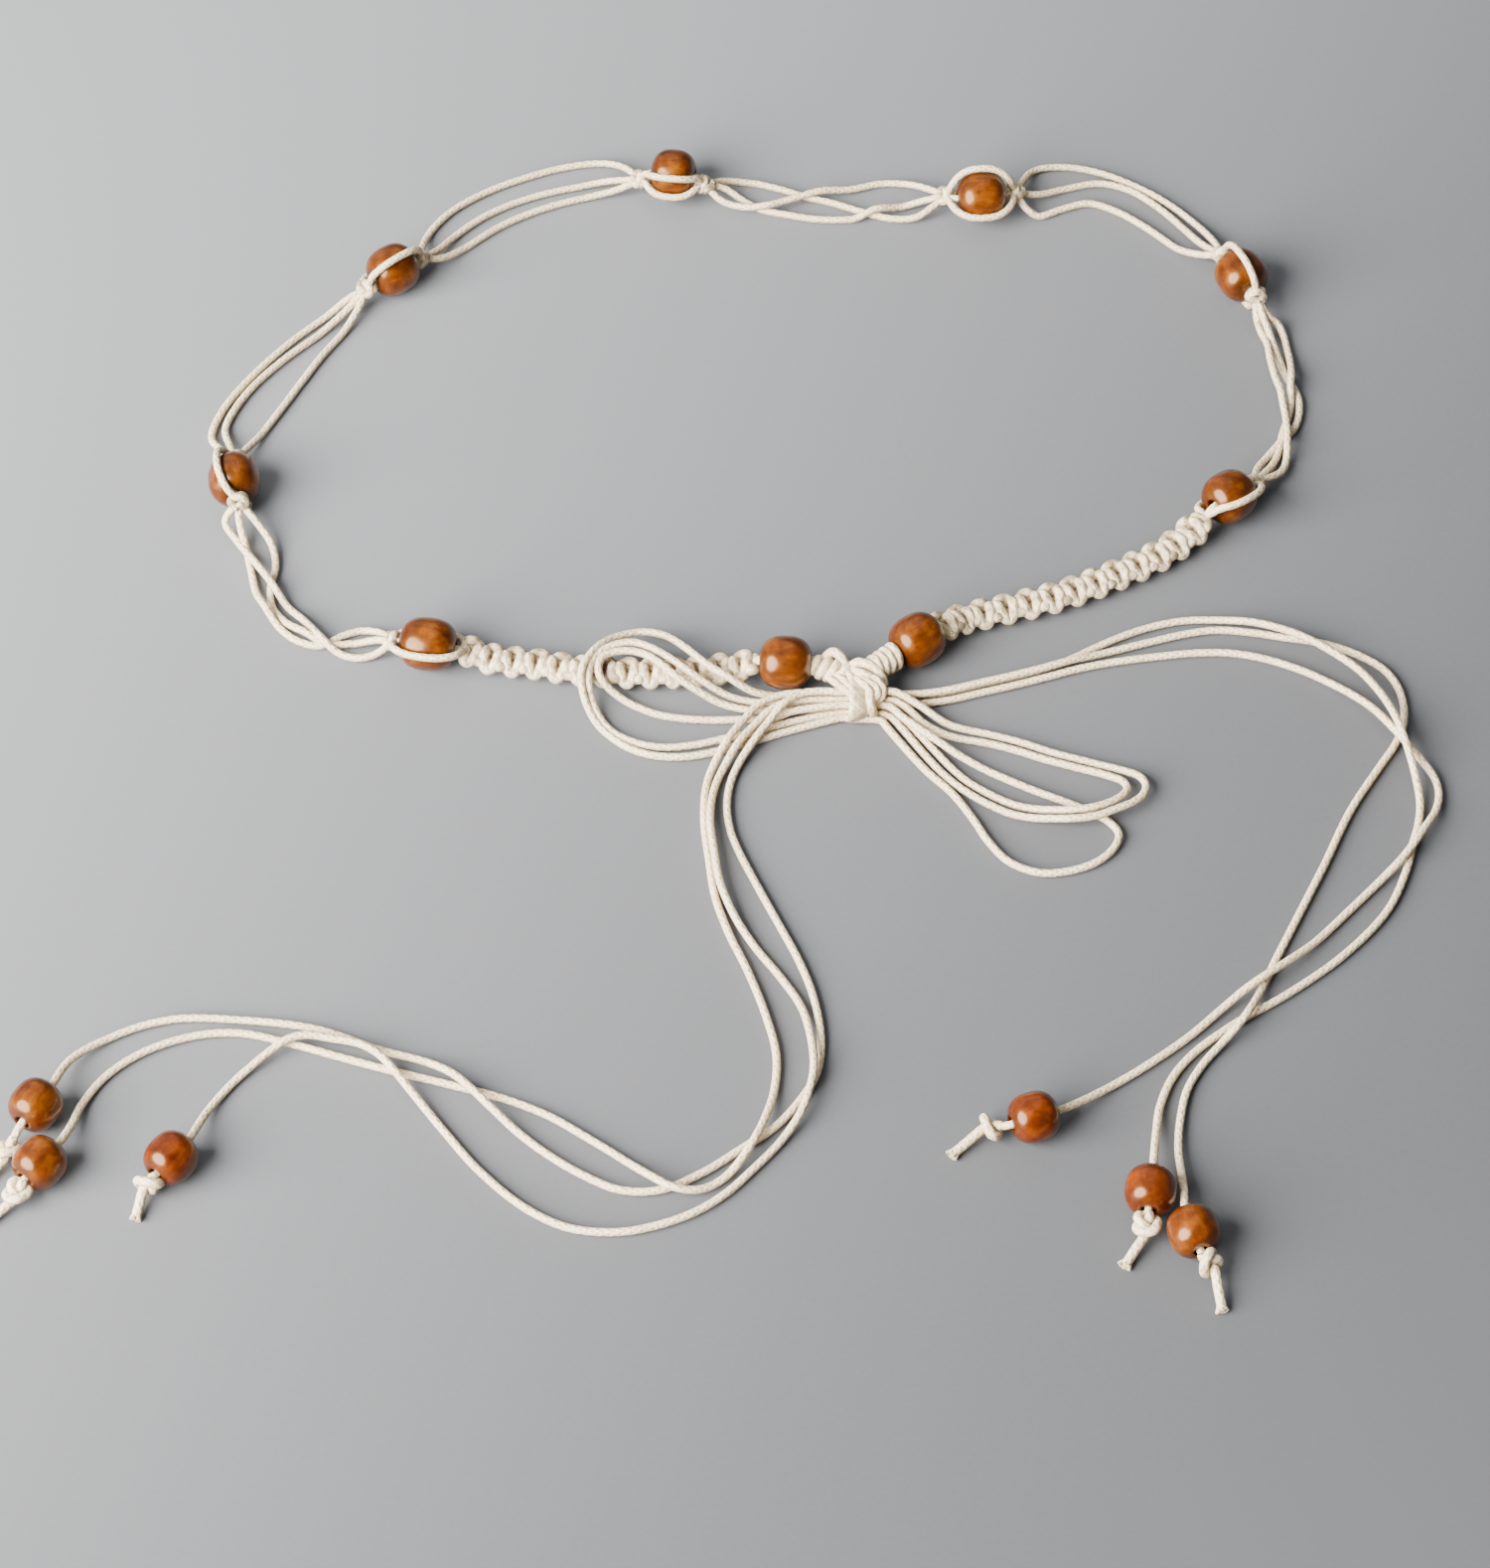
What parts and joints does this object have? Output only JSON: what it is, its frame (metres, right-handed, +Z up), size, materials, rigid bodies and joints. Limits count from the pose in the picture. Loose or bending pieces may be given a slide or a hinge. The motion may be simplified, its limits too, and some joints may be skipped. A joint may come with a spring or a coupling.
{
  "type": "cord and bead tie belt",
  "caption": "Boho tie belt of waxed cotton cords and wooden barrel beads, laid out as an oval loop and tied in a bow with long beaded tails.",
  "frame": {"origin": "on the surface the belt lies on, under the middle of the loop's box", "axes": "+X to the wearer's left as the bow is seen from the front, along the loop's long way, +Y from the bow to the back of the loop, +Z up from the surface"},
  "size_m": [0.3029, 0.3303, 0.0137],
  "materials": {
    "waxed_cord": "waxed braided cotton",
    "bead_wood": "glossy varnish"
  },
  "bodies": {
    "root": {"ring_bead_1": "bead_wood", "cradle_1": "waxed_cord", "ring_bead_2": "bead_wood", "cradle_2": "waxed_cord", "ring_bead_3": "bead_wood", "cradle_3": "waxed_cord", "ring_bead_4": "bead_wood", "cradle_4": "waxed_cord", "ring_bead_5": "bead_wood", "cradle_5": "waxed_cord", "ring_bead_6": "bead_wood", "cradle_6": "waxed_cord", "ring_bead_7": "bead_wood", "cradle_7": "waxed_cord", "span_1": "waxed_cord", "span_2": "waxed_cord", "span_3": "waxed_cord", "span_4": "waxed_cord", "span_5": "waxed_cord", "span_6": "waxed_cord", "braid_left": "waxed_cord", "braid_right": "waxed_cord", "stopper_bead_left": "bead_wood", "stopper_bead_right": "bead_wood", "wrap_left": "waxed_cord", "wrap_right": "waxed_cord", "bow_knot": "waxed_cord", "bow_loop_left_1": "waxed_cord", "bow_loop_left_2": "waxed_cord", "bow_loop_left_3": "waxed_cord", "bow_loop_right_1": "waxed_cord", "bow_loop_right_2": "waxed_cord", "bow_loop_right_3": "waxed_cord", "tail_left_1": "waxed_cord", "end_bead_left_1": "bead_wood", "end_knot_left_1": "waxed_cord", "tail_left_2": "waxed_cord", "end_bead_left_2": "bead_wood", "end_knot_left_2": "waxed_cord", "tail_left_3": "waxed_cord", "end_bead_left_3": "bead_wood", "end_knot_left_3": "waxed_cord", "tail_right_1": "waxed_cord", "end_bead_right_1": "bead_wood", "end_knot_right_1": "waxed_cord", "tail_right_2": "waxed_cord", "end_bead_right_2": "bead_wood", "end_knot_right_2": "waxed_cord", "tail_right_3": "waxed_cord", "end_bead_right_3": "bead_wood", "end_knot_right_3": "waxed_cord"}
  },
  "joints": []
}
